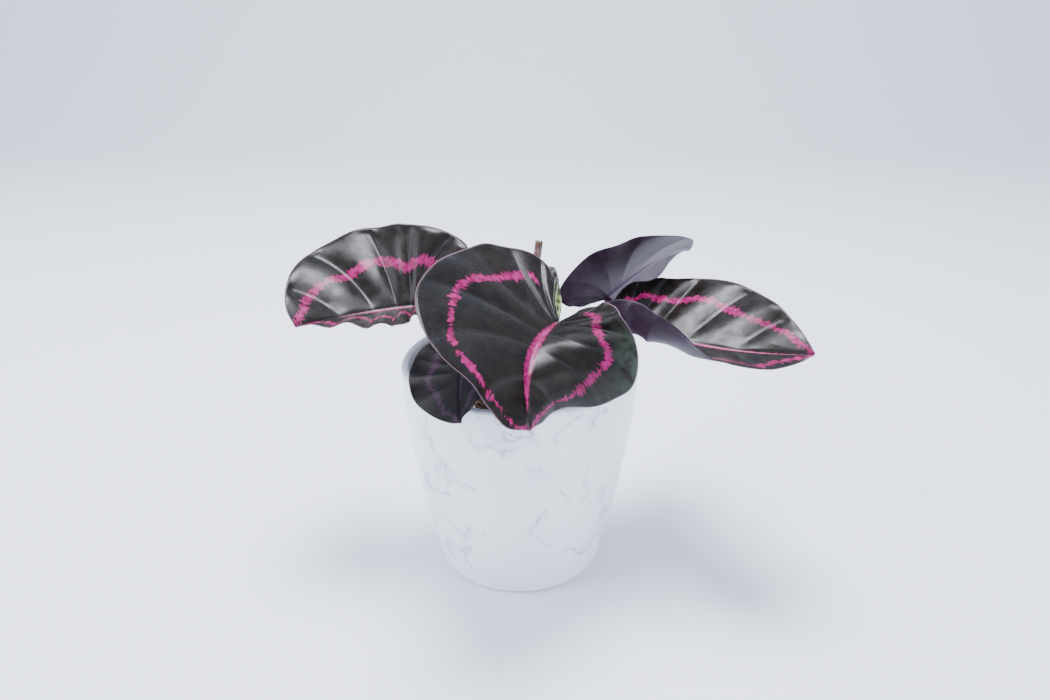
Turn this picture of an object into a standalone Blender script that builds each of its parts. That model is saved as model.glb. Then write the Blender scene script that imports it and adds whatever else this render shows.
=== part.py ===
"""Potted calathea: a young rose-painted calathea in its black nursery pot, stood in a marbled cover pot.

Metres, +Z up. The origin is the middle of the cover pot's flat underside, and -Y is the side
that the large front leaf faces. Run with: blender --background --python part.py
"""

from math import pi
from typing import NamedTuple

import bmesh
import bpy
import numpy as np

MM = 0.001
GAP = 0.3 * MM  # clearance between pieces that rest against each other

# Cover pot
POT_HEIGHT = 118 * MM
POT_RIM_RADIUS = 62.3 * MM
POT_FOOT_RADIUS = 45 * MM
POT_FOOT_ROUNDING = 4.5 * MM
POT_BELLY = 1.6  # how early the side swells out above the foot: 1 is a straight cone
POT_WALL = 4 * MM
POT_FLOOR = 5 * MM

# Nursery pot
NURSERY_HEIGHT = 102 * MM
NURSERY_TOP_RADIUS = 54.5 * MM
NURSERY_FOOT_RADIUS = 38 * MM
NURSERY_WALL = 1.2 * MM
NURSERY_FLANGE = 2.4 * MM  # how far the rolled rim stands out
NURSERY_FLANGE_DEPTH = 4 * MM
DRAIN_HOLES = 6
DRAIN_HOLE_RADIUS = 4 * MM
DRAIN_CIRCLE = 24 * MM

# Potting mix and the plant's crown
MIX_SURFACE = 97 * MM  # height of the mix at its edge
MIX_DOME = 5 * MM  # how much higher it is against the crown
CROWN_RADIUS = 13 * MM
CROWN_DEPTH = 24 * MM  # how far the crown reaches down into the mix
CROWN_RISE = 4 * MM  # how far its top stands above the mix
STEM_CIRCLE = 8.6 * MM  # the stems grow in a ring of this radius on the crown

# Leaves
BLADE_THICKNESS = 0.8 * MM
ROWS = 17  # rows of lateral veins from notch to tip
COLUMNS = 6  # steps from midrib to margin
SIDES = 8  # of a stem


class Leaf(NamedTuple):
    """One leaf: lengths in mm, angles in degrees, and (left, right) pairs for the blade's halves.

    Left and right are as seen from above with the tip pointing away.
    """

    at: tuple  # where the stem meets the blade
    length: float  # along the midrib
    half: tuple  # width of each half
    lobe: tuple  # how far each half reaches behind the stem, as a share of the length
    heading: tuple  # direction of the midrib about Z, at the stem and its change to the tip
    rise: tuple  # slope of the midrib: at the stem, linear and quadratic change to the tip
    recurve: float  # change of that slope over one length behind the stem
    roll: tuple  # turn about the midrib, at the stem and its change to the tip
    fold: tuple  # each half's angle up from the midrib, at the stem and its change
    curl: tuple  # each half's further turn out to its margin, at the stem and its change
    widest: tuple  # where each half is widest, as a share of the length
    taper: tuple  # fullness of each half towards the tip
    stem_at: float  # where the stem grows on the crown, degrees about Z
    stem_radius: float


LEAVES = {
    "front_leaf": Leaf(
        at=(19, -28, 150), length=67, half=(49, 61), lobe=(0.09, 0.35),
        heading=(-131, 58), rise=(-10, -4, -50), recurve=15, roll=(-1, -32),
        fold=((29, -46), (30, -23)), curl=((-19, -16), (8, -13)),
        widest=(0.33, 0.40), taper=(0.31, 0.33), stem_at=-75, stem_radius=1.9,
    ),
    "left_leaf": Leaf(
        at=(-51, 18, 141), length=73, half=(42, 54), lobe=(0.15, 0.28),
        heading=(182, 55), rise=(-7, 21, -6), recurve=-59, roll=(-16, 5),
        fold=((28, -8), (30, -18)), curl=((0, 0), (0, 0)),
        widest=(0.39, 0.30), taper=(0.20, 0.54), stem_at=160, stem_radius=1.8,
    ),
    "right_leaf": Leaf(
        at=(51, 9, 135), length=103, half=(48, 40), lobe=(0.09, 0.05),
        heading=(-27, -2), rise=(-11, 27, -3), recurve=23, roll=(11, 14),
        fold=((7, 7), (5, 4)), curl=((0, 0), (132, -111)),
        widest=(0.29, 0.29), taper=(0.49, 0.33), stem_at=-20, stem_radius=1.8,
    ),
    "back_leaf": Leaf(
        at=(48, 43, 135), length=67, half=(30, 39), lobe=(0.15, 0.26),
        heading=(30, 19), rise=(30, -8, -37), recurve=-65, roll=(-74, 18),
        fold=((4, -15), (5, -70)), curl=((0, 0), (0, 0)),
        widest=(0.36, 0.34), taper=(0.34, 0.29), stem_at=38, stem_radius=1.6,
    ),
    "rear_leaf": Leaf(
        at=(0, 37, 134), length=58, half=(25, 28), lobe=(0.12, 0.16),
        heading=(104, -14), rise=(6, -22, -10), recurve=10, roll=(-14, 0),
        fold=((12, 0), (12, 6)), curl=((0, 0), (0, 0)),
        widest=(0.36, 0.36), taper=(0.30, 0.28), stem_at=95, stem_radius=1.6,
    ),
    "small_leaf": Leaf(
        at=(-27, -35, 133), length=39, half=(18, 25), lobe=(0.15, 0.21),
        heading=(-94, 10), rise=(-23, -11, 19), recurve=10, roll=(6, 20),
        fold=((12, 15), (6, -18)), curl=((-30, -5), (32, 6)),
        widest=(0.36, 0.34), taper=(0.29, 0.34), stem_at=-135, stem_radius=1.3,
    ),
}

CUT_STEM_TOP = np.array([10, 12, 179]) * MM
CUT_STEM_RADIUS = 1.9 * MM


# Objects and materials


def clear_scene():
    for found in list(bpy.data.objects):
        bpy.data.objects.remove(found)


def material(name, colour, roughness):
    made = bpy.data.materials.new(name)
    made.use_nodes = True
    shader = made.node_tree.nodes["Principled BSDF"]
    shader.inputs["Base Color"].default_value = (*colour, 1)
    shader.inputs["Roughness"].default_value = roughness
    made.diffuse_color = (*colour, 1)
    return made


def add_object(name, mesh, surface):
    made = bpy.data.objects.new(name, mesh)
    mesh.materials.append(surface)
    mesh.shade_smooth()
    mesh.set_sharp_from_angle(angle=pi / 5)
    bpy.context.collection.objects.link(made)
    return made


def turned(name, profile, surface, sides=48):
    """Turns a closed (radius, height) profile, which starts and ends on the axis, about Z."""
    shape = bmesh.new()
    points = [shape.verts.new((radius, 0, height)) for radius, height in profile]
    edges = [shape.edges.new(pair) for pair in zip(points, points[1:])]
    bmesh.ops.spin(
        shape, geom=points + edges, cent=(0, 0, 0), axis=(0, 0, 1), angle=2 * pi, steps=sides,
    )
    bmesh.ops.remove_doubles(shape, verts=shape.verts, dist=0.01 * MM)
    bmesh.ops.recalc_face_normals(shape, faces=shape.faces)
    mesh = bpy.data.meshes.new(name)
    shape.to_mesh(mesh)
    shape.free()
    return add_object(name, mesh, surface)


def tube(name, path, radii, surface):
    """A closed round tube along path, with a radius at each of its points; its foot stands level."""
    along = np.gradient(path, axis=0)
    along[0] = (0, 0, 1)
    along /= np.linalg.norm(along, axis=1)[:, None]
    side = np.cross(along, (0.3, 1, 0.1))
    side /= np.linalg.norm(side, axis=1)[:, None]
    other = np.cross(along, side)
    shape = bmesh.new()
    rings = []
    for centre, radius, first, second in zip(path, radii, side, other):
        turns = np.arange(SIDES) * 2 * pi / SIDES
        ring = centre + radius * (np.outer(np.cos(turns), first) + np.outer(np.sin(turns), second))
        rings.append([shape.verts.new(point) for point in ring])
    for lower, upper in zip(rings, rings[1:]):
        for i in range(SIDES):
            j = (i + 1) % SIDES
            shape.faces.new((lower[i], lower[j], upper[j], upper[i]))
    shape.faces.new(rings[0])
    shape.faces.new(rings[-1])
    bmesh.ops.recalc_face_normals(shape, faces=shape.faces)
    mesh = bpy.data.meshes.new(name)
    shape.to_mesh(mesh)
    shape.free()
    return add_object(name, mesh, surface)


def bezier(start, start_handle, end_handle, end, t):
    t = np.asarray(t)[..., None]
    return (
        (1 - t) ** 3 * start
        + 3 * (1 - t) ** 2 * t * start_handle
        + 3 * (1 - t) * t**2 * end_handle
        + t**3 * end
    )


# Pots, potting mix and crown


def pot_radius(height):
    """Outer radius of the cover pot's side, which swells above the foot and straightens to the rim."""
    share = 1 - (1 - height / POT_HEIGHT) ** POT_BELLY
    return POT_FOOT_RADIUS + (POT_RIM_RADIUS - POT_FOOT_RADIUS) * share


def cover_pot(surface):
    rounding = POT_FOOT_ROUNDING
    foot = pot_radius(rounding)
    edge = [
        (foot - rounding * (1 - np.sin(turn)), rounding * (1 - np.cos(turn)))
        for turn in np.linspace(0, pi / 2, 5)
    ]
    heights = np.linspace(rounding, POT_HEIGHT - POT_WALL / 2, 9)[1:]
    outside = [(pot_radius(height), height) for height in heights]
    middle = pot_radius(heights[-1]) - POT_WALL / 2
    lip = [
        (middle + POT_WALL / 2 * np.cos(turn), heights[-1] + POT_WALL / 2 * np.sin(turn))
        for turn in np.linspace(0, pi, 7)[1:-1]
    ]
    inside = [(pot_radius(height) - POT_WALL, height) for height in heights[::-1]]
    corner = pot_radius(POT_FLOOR) - POT_WALL
    inside += [(corner, POT_FLOOR + 3 * MM), (corner - 3 * MM, POT_FLOOR)]
    return turned("cover_pot", [(0, 0), *edge, *outside, *lip, *inside, (0, POT_FLOOR)], surface)


def nursery_radius(height):
    """Outer radius of the nursery pot's side at this height above its own base."""
    share = height / NURSERY_HEIGHT
    return NURSERY_FOOT_RADIUS + (NURSERY_TOP_RADIUS - NURSERY_FOOT_RADIUS) * share


def nursery_pot(surface):
    base = POT_FLOOR + GAP
    top = base + NURSERY_HEIGHT
    under = NURSERY_HEIGHT - NURSERY_FLANGE_DEPTH
    wall = NURSERY_WALL
    profile = [
        (0, base),
        (nursery_radius(0), base),
        (nursery_radius(under), base + under),
        (nursery_radius(under) + NURSERY_FLANGE, base + under),
        (NURSERY_TOP_RADIUS + NURSERY_FLANGE, top - wall / 2),
        (NURSERY_TOP_RADIUS + NURSERY_FLANGE - wall / 2, top),
        (NURSERY_TOP_RADIUS - wall, top),
        (nursery_radius(wall) - wall, base + wall),
        (0, base + wall),
    ]
    pot = turned("nursery_pot", profile, surface)
    bpy.ops.mesh.primitive_cylinder_add(vertices=12, radius=DRAIN_HOLE_RADIUS, depth=20 * MM)
    punch = bpy.context.object
    punch.name = "drain_punch"
    copies = bmesh.new()
    for i in range(DRAIN_HOLES):
        turn = 2 * pi * i / DRAIN_HOLES
        place = (DRAIN_CIRCLE * np.cos(turn), DRAIN_CIRCLE * np.sin(turn), base)
        fresh = bmesh.ops.create_cone(
            copies, cap_ends=True, segments=12, radius1=DRAIN_HOLE_RADIUS, radius2=DRAIN_HOLE_RADIUS,
            depth=10 * MM,
        )
        bmesh.ops.translate(copies, verts=fresh["verts"], vec=place)
    copies.to_mesh(punch.data)
    copies.free()
    punch.hide_render = True
    punch.display_type = "WIRE"
    cut = pot.modifiers.new("drain holes", "BOOLEAN")
    cut.object = punch
    return pot


def mix_height(radius):
    return MIX_SURFACE + MIX_DOME * (1 - (radius / NURSERY_TOP_RADIUS) ** 2)


def potting_mix(surface):
    base = POT_FLOOR + 2 * GAP + NURSERY_WALL
    pocket = CROWN_RADIUS + GAP
    foot = nursery_radius(base - POT_FLOOR) - NURSERY_WALL - GAP
    edge = nursery_radius(MIX_SURFACE - POT_FLOOR) - NURSERY_WALL - GAP
    top = [(radius, mix_height(radius)) for radius in np.linspace(edge, pocket, 6)]
    floor = top[-1][1] - CROWN_DEPTH
    profile = [(0, base), (foot, base), *top, (pocket, floor), (0, floor)]
    return turned("potting_mix", profile, surface, sides=36)


def crown_top():
    return mix_height(CROWN_RADIUS) + CROWN_RISE


def crown(surface):
    low = mix_height(CROWN_RADIUS + GAP) - CROWN_DEPTH + GAP
    profile = [
        (0, low),
        (CROWN_RADIUS * 0.8, low),
        (CROWN_RADIUS, low + CROWN_DEPTH * 0.3),
        (CROWN_RADIUS, mix_height(CROWN_RADIUS)),
        (CROWN_RADIUS * 0.9, crown_top()),
        (0, crown_top()),
    ]
    return turned("crown", profile, surface, sides=24)


# Leaves


def outline(vein, widest, taper, lobe):
    """Half a blade's outline at unit width and length, from the notch (0) round its lobe to the tip (1)."""
    corners = (
        ((0, 0), (0.14, -0.62 * lobe), (0.28, -lobe), (0.52, -lobe)),
        ((0.52, -lobe), (0.80, -lobe), (1, 0.10), (1, widest)),
        ((1, widest), (1, 0.66), (taper, 0.88), (0, 1)),
    )
    run = np.clip(vein * 3, 0, 2.999999)
    curves = [bezier(*np.array(four), run % 1) for four in corners]
    return np.choose(run.astype(int)[..., None], curves)


def midrib(leaf):
    """Samples along the midrib, from behind the stem to the tip: share, points and three directions."""
    share = np.linspace(-max(leaf.lobe) - 0.02, 1, 160)
    ahead = np.clip(share, 0, None)
    behind = np.clip(share, None, 0)
    first, linear, quadratic = leaf.rise
    rise = np.radians(first + linear * ahead + quadratic * ahead**2 + leaf.recurve * behind)
    heading = np.radians(leaf.heading[0] + leaf.heading[1] * ahead)
    roll = np.radians(leaf.roll[0] + leaf.roll[1] * share)[:, None]
    along = np.stack([np.cos(rise) * np.cos(heading), np.cos(rise) * np.sin(heading), np.sin(rise)], -1)
    level = np.stack([-np.sin(heading), np.cos(heading), 0 * heading], -1)
    over = np.cross(along, level)
    side = np.cos(roll) * level + np.sin(roll) * over
    up = np.cos(roll) * over - np.sin(roll) * level
    steps = (along[1:] + along[:-1]) / 2 * np.diff(share)[:, None] * leaf.length * MM
    points = np.vstack([np.zeros(3), np.cumsum(steps, axis=0)])
    origin = [np.interp(0, share, points[:, axis]) for axis in range(3)]
    return share, points - origin + np.array(leaf.at) * MM, along, side, up


def sampled(share, values, at):
    return np.stack([np.interp(at, share, values[:, axis]) for axis in range(3)], -1)


def half_blade(leaf, half, vein, out):
    """Points of half a blade: vein runs from notch to tip, and out from the midrib to the margin."""
    edge = outline(vein, leaf.widest[half], leaf.taper[half], leaf.lobe[half])
    start = vein**4
    swing = (0.6 * edge[..., 0], start + 0.3 * (edge[..., 1] - start))
    across = 2 * (1 - out) * out * swing[0] + out**2 * edge[..., 0]
    share = (1 - out) ** 2 * start + 2 * (1 - out) * out * swing[1] + out**2 * edge[..., 1]

    samples, points, _, side, up = midrib(leaf)
    width = leaf.half[half] * MM
    fold = np.radians(leaf.fold[half][0] + leaf.fold[half][1] * share)
    curl = np.radians(leaf.curl[half][0] + leaf.curl[half][1] * share)
    curl = np.where(abs(curl) < 1e-3, 1e-3, curl)
    level = width / curl * (np.sin(fold + curl * across) - np.sin(fold))
    height = width / curl * (np.cos(fold) - np.cos(fold + curl * across))
    sign = 1 - 2 * half
    place = sampled(samples, points, share)
    place += sign * level[..., None] * sampled(samples, side, share)
    return place + height[..., None] * sampled(samples, up, share)


def blade(name, leaf, surface):
    """The blade as rows of points from the left margin over the midrib to the right margin."""
    veins = np.linspace(0, 1, ROWS + 1)[1:-1]
    outs = np.linspace(0, 1, COLUMNS + 1)
    vein, out = np.meshgrid(veins, outs, indexing="ij")
    left, right = (half_blade(leaf, half, vein, out) for half in (0, 1))
    rows = np.concatenate([left[:, :0:-1], right], axis=1)
    tip = half_blade(leaf, 0, np.ones((1, 1)), np.zeros((1, 1)))[0, 0]

    shape = bmesh.new()
    grid = [[shape.verts.new(point) for point in row] for row in rows]
    notch = shape.verts.new(np.array(leaf.at) * MM)
    point = shape.verts.new(tip)
    for near, far in zip(grid, grid[1:]):
        for i in range(2 * COLUMNS):
            shape.faces.new((near[i], near[i + 1], far[i + 1], far[i]))
    for i in range(2 * COLUMNS):
        shape.faces.new((notch, grid[0][i + 1], grid[0][i]))
        shape.faces.new((point, grid[-1][i], grid[-1][i + 1]))
    bmesh.ops.recalc_face_normals(shape, faces=shape.faces)
    mesh = bpy.data.meshes.new(name)
    shape.to_mesh(mesh)
    shape.free()
    made = add_object(name, mesh, surface)
    skin = made.modifiers.new("thickness", "SOLIDIFY")
    skin.thickness = BLADE_THICKNESS
    skin.offset = 0
    return made


def stem(name, leaf, surface):
    """A stalk from the crown to just under the blade, thick at its sheath and at the joint on top."""
    share, points, along, _, up = midrib(leaf)
    at_stem = [sampled(share, values, 0.0) for values in (points, along, up)]
    radius = leaf.stem_radius * MM
    end = at_stem[0] + 1.5 * MM * at_stem[1] - (BLADE_THICKNESS / 2 + 1.1 * MM) * at_stem[2]
    turn = np.radians(leaf.stem_at)
    start = np.array([STEM_CIRCLE * np.cos(turn), STEM_CIRCLE * np.sin(turn), crown_top() + GAP])
    reach = np.linalg.norm(end - start)
    path = bezier(
        start, start + reach * 0.4 * np.array([0, 0, 1]), end - reach * 0.25 * at_stem[2], end,
        np.linspace(0, 1, 13),
    )
    t = np.linspace(0, 1, 13)
    radii = radius * (0.85 + 0.55 * (1 - t) ** 3 + 0.2 * np.exp(-(((t - 0.88) / 0.08) ** 2)))
    return tube(name, path, radii, surface)


def cut_stem(surface):
    start = np.array([0, 0, crown_top() + GAP])
    path = bezier(
        start, start + np.array([0, 0, 30 * MM]), CUT_STEM_TOP - np.array([3, 2, 26]) * MM, CUT_STEM_TOP,
        np.linspace(0, 1, 11),
    )
    radii = CUT_STEM_RADIUS * (1 + 0.25 * np.linspace(1, 0, 11) ** 2)
    return tube("cut_stem", path, radii, surface)


def main():
    clear_scene()
    cover_pot(material("marbled ceramic", (0.80, 0.84, 0.92), 0.35))
    nursery_pot(material("black plastic", (0.012, 0.012, 0.014), 0.5))
    potting_mix(material("potting mix", (0.035, 0.024, 0.017), 0.95))
    crown(material("crown", (0.16, 0.09, 0.07), 0.8))
    stalk = material("leaf stalk", (0.17, 0.07, 0.10), 0.5)
    blade_surface = material("leaf blade", (0.035, 0.038, 0.040), 0.4)
    for name, leaf in LEAVES.items():
        blade(name, leaf, blade_surface)
        stem(name.replace("leaf", "stem"), leaf, stalk)
    cut_stem(material("cut stalk", (0.25, 0.13, 0.12), 0.7))


main()
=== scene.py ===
"""Potted calathea: the looks of a young rose-painted calathea in its nursery pot and marbled cover pot.

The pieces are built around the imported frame, in metres, +Z up, with the middle of the cover pot's
underside at the origin. The file is laid out as an add-on and is run as a script.
"""

from math import cos, pi, radians, sin
from typing import NamedTuple

import bpy
import numpy as np
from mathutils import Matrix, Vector, noise


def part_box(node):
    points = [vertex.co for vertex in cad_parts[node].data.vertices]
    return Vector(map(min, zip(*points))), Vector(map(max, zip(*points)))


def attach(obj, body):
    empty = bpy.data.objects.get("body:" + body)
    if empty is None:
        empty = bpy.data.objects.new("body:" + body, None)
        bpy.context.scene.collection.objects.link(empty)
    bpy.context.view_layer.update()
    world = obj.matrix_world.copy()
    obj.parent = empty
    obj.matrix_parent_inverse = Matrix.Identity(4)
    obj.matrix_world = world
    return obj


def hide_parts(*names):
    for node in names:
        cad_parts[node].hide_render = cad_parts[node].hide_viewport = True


bl_info = {
    "name": "Potted Calathea",
    "version": (1, 0, 0),
    "blender": (4, 5, 0),
    "location": "3D View > Sidebar > Calathea",
    "description": "Builds a potted calathea around its fixed frame",
    "category": "Add Mesh",
}

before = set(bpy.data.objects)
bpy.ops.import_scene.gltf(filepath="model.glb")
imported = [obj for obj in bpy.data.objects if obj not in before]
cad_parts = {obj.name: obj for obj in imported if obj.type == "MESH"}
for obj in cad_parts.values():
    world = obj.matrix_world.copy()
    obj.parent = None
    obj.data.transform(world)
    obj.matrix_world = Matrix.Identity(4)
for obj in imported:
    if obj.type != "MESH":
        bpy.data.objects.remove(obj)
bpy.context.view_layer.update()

MM = 0.001
BODY = "root"
POT_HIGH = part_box("cover_pot")[1]
NURSERY_LOW, NURSERY_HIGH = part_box("nursery_pot")
MIX_LOW, MIX_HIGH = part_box("potting_mix")
CROWN_LOW, CROWN_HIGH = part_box("crown")

POT_RIM_RADIUS = POT_HIGH.x
POT_HEIGHT = POT_HIGH.z
POT_FOOT_RADIUS = 45 * MM
POT_BELLY = 1.6  # how early the side swells out above the foot: 1 is a straight cone
POT_WALL = 4 * MM
POT_FLOOR = 5 * MM
POT_FOOT_ROUNDING = 4.5 * MM
NURSERY_FOOT_RADIUS = 38 * MM
NURSERY_TOP_RADIUS = 54.5 * MM
NURSERY_WALL = 1.2 * MM
NURSERY_FLANGE = 2.4 * MM  # how far the rolled rim stands out
NURSERY_FLANGE_DEPTH = 4 * MM
DRAIN_HOLES = 6
DRAIN_HOLE_RADIUS = 4 * MM
DRAIN_CIRCLE = 24 * MM
MIX_SURFACE = 97 * MM  # height of the mix at its edge
MIX_DOME = 5 * MM  # how much higher it is at the middle
POCKET_RADIUS = 13.3 * MM  # the pocket in the mix that holds the crown
POCKET_DEPTH = 24 * MM
STEM_CIRCLE = 8.6 * MM  # the stalks grow in a ring of this radius on the crown
CUT_STEM_TOP = np.array([10, 12, 179]) * MM
CUT_STEM_RADIUS = 1.9 * MM
GAP = 0.3 * MM  # clearance between pieces that rest against each other

BLADE_ROWS = 170  # from notch to tip
BLADE_COLUMNS = 34  # steps from midrib to margin
LATERAL_VEINS = 9  # pleats in each half of a blade
STALK_SIDES = 24
GOLDEN = (1 + 5**0.5) / 2

CAMERA_PLACE = (0.0027, -0.404, 0.301)
CAMERA_PITCH = 23.8  # degrees below level
CAMERA_LENS = 28.8  # mm, on the usual 36 mm sensor


class Leaf(NamedTuple):
    """One leaf: lengths in mm, angles in degrees, and (left, right) pairs for the blade's halves.

    Left and right are as seen from above with the tip pointing away.
    """

    at: tuple  # where the stalk meets the blade
    length: float  # along the midrib
    half: tuple  # width of each half
    lobe: tuple  # how far each half reaches behind the stalk, as a share of the length
    heading: tuple  # direction of the midrib about Z, at the stalk and its change to the tip
    rise: tuple  # slope of the midrib: at the stalk, linear and quadratic change to the tip
    recurve: float  # change of that slope over one length behind the stalk
    roll: tuple  # turn about the midrib, at the stalk and its change to the tip
    fold: tuple  # each half's angle up from the midrib, at the stalk and its change
    curl: tuple  # each half's further turn out to its margin, at the stalk and its change
    widest: tuple  # where each half is widest, as a share of the length
    taper: tuple  # fullness of each half towards the tip
    stem_at: float  # where the stalk grows on the crown, degrees about Z
    stem_radius: float


class Paint(NamedTuple):
    """How one leaf is painted and pleated, on top of its shape."""

    ring: tuple  # per half: where the ring lies from midrib (0) to margin (1), at three veins
    ring_width: tuple  # half width in mm at three veins: by the notch, at the middle and by the tip
    stripe: tuple  # midrib stripe: half width in mm and how far it reaches towards the tip
    pleats: float  # depth in mm
    waves: float  # height of the margin's waves in mm
    painted_shade: float  # 0 for none, 1 for painted shade that darkens the small leaf to near-black where the front leaf shades it
    lime: float  # how yellow-green the blade is beside the notch
    seed: float  # sets this leaf's strokes and waves apart from the others
    gaps: tuple = ()  # (half, first vein, last vein) where the ring is broken
    bulge: tuple = (0, 0)  # how far each half swells out beside the tip, in mm


LEAVES = {
    "front_leaf": Leaf(
        at=(19, -28, 150), length=67, half=(49, 61), lobe=(0.09, 0.35),
        heading=(-131, 58), rise=(-10, -4, -50), recurve=15, roll=(-1, -32),
        fold=((29, -46), (30, -23)), curl=((-19, -16), (8, -13)),
        widest=(0.33, 0.40), taper=(0.31, 0.33), stem_at=-75, stem_radius=1.9,
    ),
    "left_leaf": Leaf(
        at=(-51, 18, 141), length=73, half=(42, 54), lobe=(0.15, 0.28),
        heading=(182, 55), rise=(-7, 21, -6), recurve=-59, roll=(-16, 5),
        fold=((28, -8), (30, -18)), curl=((0, 0), (0, 0)),
        widest=(0.39, 0.30), taper=(0.20, 0.54), stem_at=160, stem_radius=1.8,
    ),
    "right_leaf": Leaf(
        at=(51, 9, 135), length=103, half=(48, 40), lobe=(0.09, 0.05),
        heading=(-27, -2), rise=(-11, 27, -3), recurve=23, roll=(11, 14),
        fold=((7, 7), (5, 4)), curl=((0, 0), (132, -111)),
        widest=(0.29, 0.29), taper=(0.49, 0.33), stem_at=-20, stem_radius=1.8,
    ),
    "back_leaf": Leaf(
        at=(48, 43, 135), length=67, half=(30, 39), lobe=(0.15, 0.26),
        heading=(30, 19), rise=(30, -8, -37), recurve=-65, roll=(-74, 18),
        fold=((4, -15), (5, -45)), curl=((0, 0), (0, 0)),
        widest=(0.36, 0.34), taper=(0.34, 0.29), stem_at=38, stem_radius=1.6,
    ),
    "rear_leaf": Leaf(
        at=(0, 37, 134), length=58, half=(25, 28), lobe=(0.12, 0.16),
        heading=(104, -14), rise=(6, -22, -10), recurve=10, roll=(-14, 0),
        fold=((12, 0), (12, 6)), curl=((0, 0), (0, 0)),
        widest=(0.36, 0.36), taper=(0.30, 0.28), stem_at=95, stem_radius=1.6,
    ),
    "small_leaf": Leaf(
        at=(-27, -35, 133), length=39, half=(18, 25), lobe=(0.15, 0.21),
        heading=(-94, 10), rise=(-23, -11, 19), recurve=10, roll=(6, 20),
        fold=((12, 15), (6, -18)), curl=((-30, -5), (32, 6)),
        widest=(0.36, 0.34), taper=(0.29, 0.34), stem_at=-135, stem_radius=1.3,
    ),
}

PAINTS = {
    "front_leaf": Paint(
        ring=((0.60, 0.62, 0.80), (0.55, 0.66, 0.88)), ring_width=(2.2, 2.4, 0.6), stripe=(2.7, 0.88),
        pleats=1.1, waves=0.8, painted_shade=0, lime=1, seed=0,
        gaps=((1, -0.1, 0.37), (1, 0.41, 0.44), (0, -0.1, 0.34), (0, 0.38, 0.40)), bulge=(1.5, 5.0),
    ),
    "left_leaf": Paint(
        ring=((0.55, 0.50, 0.60), (0.55, 0.52, 0.60)), ring_width=(2.2, 3.0, 1.6), stripe=(1.2, 0.66),
        pleats=2.7, waves=1.2, painted_shade=0, lime=0, seed=11,
    ),
    "right_leaf": Paint(
        ring=((0.60, 0.58, 0.70), (0.60, 0.58, 0.70)), ring_width=(2.0, 2.6, 1.4), stripe=(1.2, 0.96),
        pleats=2.2, waves=0.7, painted_shade=0, lime=0, seed=23, gaps=((0, 0.22, 0.30), (1, 0.36, 0.60)),
    ),
    "back_leaf": Paint(
        ring=((0.60, 0.62, 0.72), (0.60, 0.62, 0.72)), ring_width=(2.2, 2.8, 1.0), stripe=(1.8, 0.85),
        pleats=0.8, waves=0.8, painted_shade=0, lime=0, seed=37,
    ),
    "rear_leaf": Paint(
        ring=((0.60, 0.62, 0.72), (0.60, 0.62, 0.72)), ring_width=(2.2, 2.8, 1.0), stripe=(1.8, 0.85),
        pleats=0.8, waves=0.8, painted_shade=0, lime=0, seed=51,
    ),
    "small_leaf": Paint(
        ring=((0.55, 0.58, 0.62), (0.55, 0.58, 0.62)), ring_width=(1.2, 1.4, 0.8), stripe=(0.8, 0.70),
        # painted shade: this leaf lies in the front leaf's shadow, so its colours are darkened to near-black
        pleats=0.5, waves=0.7, painted_shade=1, lime=0, seed=67,
    ),
}


# Colours and nodes


def linear(hex_colour):
    """The linear colour of an sRGB hex value."""
    parts = [int(hex_colour[i : i + 2], 16) / 255 for i in (1, 3, 5)]
    return tuple(p / 12.92 if p <= 0.04045 else ((p + 0.055) / 1.055) ** 2.4 for p in parts)


def node(tree, kind, inputs=(), **settings):
    """Adds a node. inputs fill its sockets in order, or by name if they are a dict.

    Each is a number, a colour, a node or a socket, and None leaves a socket as it is.
    """
    made = tree.nodes.new("ShaderNode" + kind)
    for key, value in settings.items():
        setattr(made, key, value)
    sockets = [socket for socket in made.inputs if socket.enabled]
    pairs = inputs.items() if isinstance(inputs, dict) else enumerate(inputs)
    for key, value in pairs:
        socket = made.inputs[key] if isinstance(key, str) else sockets[key]
        if isinstance(value, bpy.types.Node):
            value = next(output for output in value.outputs if output.enabled)
        if isinstance(value, bpy.types.NodeSocket):
            tree.links.new(value, socket)
        elif value is not None:
            socket.default_value = (*value, 1) if socket.type == "RGBA" else value
    return made


def fresh_material(name):
    made = bpy.data.materials.new(name)
    made.use_nodes = True
    made.node_tree.nodes.clear()
    return made, made.node_tree


def finish_material(tree, inputs, height=None, depth=0.1 * MM):
    """Ends a material in a Principled shader, with its bump from height, which is depth deep."""
    if height is not None:
        inputs["Normal"] = node(tree, "Bump", {"Strength": 1, "Distance": depth, "Height": height})
    shader = node(tree, "BsdfPrincipled", inputs)
    node(tree, "OutputMaterial", [shader])


def math(tree, operation, *inputs):
    return node(tree, "Math", inputs, operation=operation)


def mapped(tree, value, low, high, to_low=0.0, to_high=1.0):
    """value taken smoothly from low..high to to_low..to_high, and held outside."""
    return node(
        tree, "MapRange", (value, low, high, to_low, to_high), interpolation_type="SMOOTHSTEP",
    )


def mixed(tree, share, first, second):
    return node(tree, "Mix", (share, first, second), data_type="RGBA")


def attribute(tree, name):
    return node(tree, "Attribute", attribute_name=name).outputs["Fac"]


def millimetres(tree):
    """Object coordinates in millimetres."""
    place = node(tree, "TexCoord").outputs["Object"]
    return node(tree, "VectorMath", (place, (1000, 1000, 1000)), operation="MULTIPLY")


def grain(tree, place, size, detail=3.0, rough=0.5):
    """Noise whose blotches are about size apart, in the units of place."""
    return node(tree, "TexNoise", (place, 1 / size, detail, rough)).outputs["Fac"]


# Meshes


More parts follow.
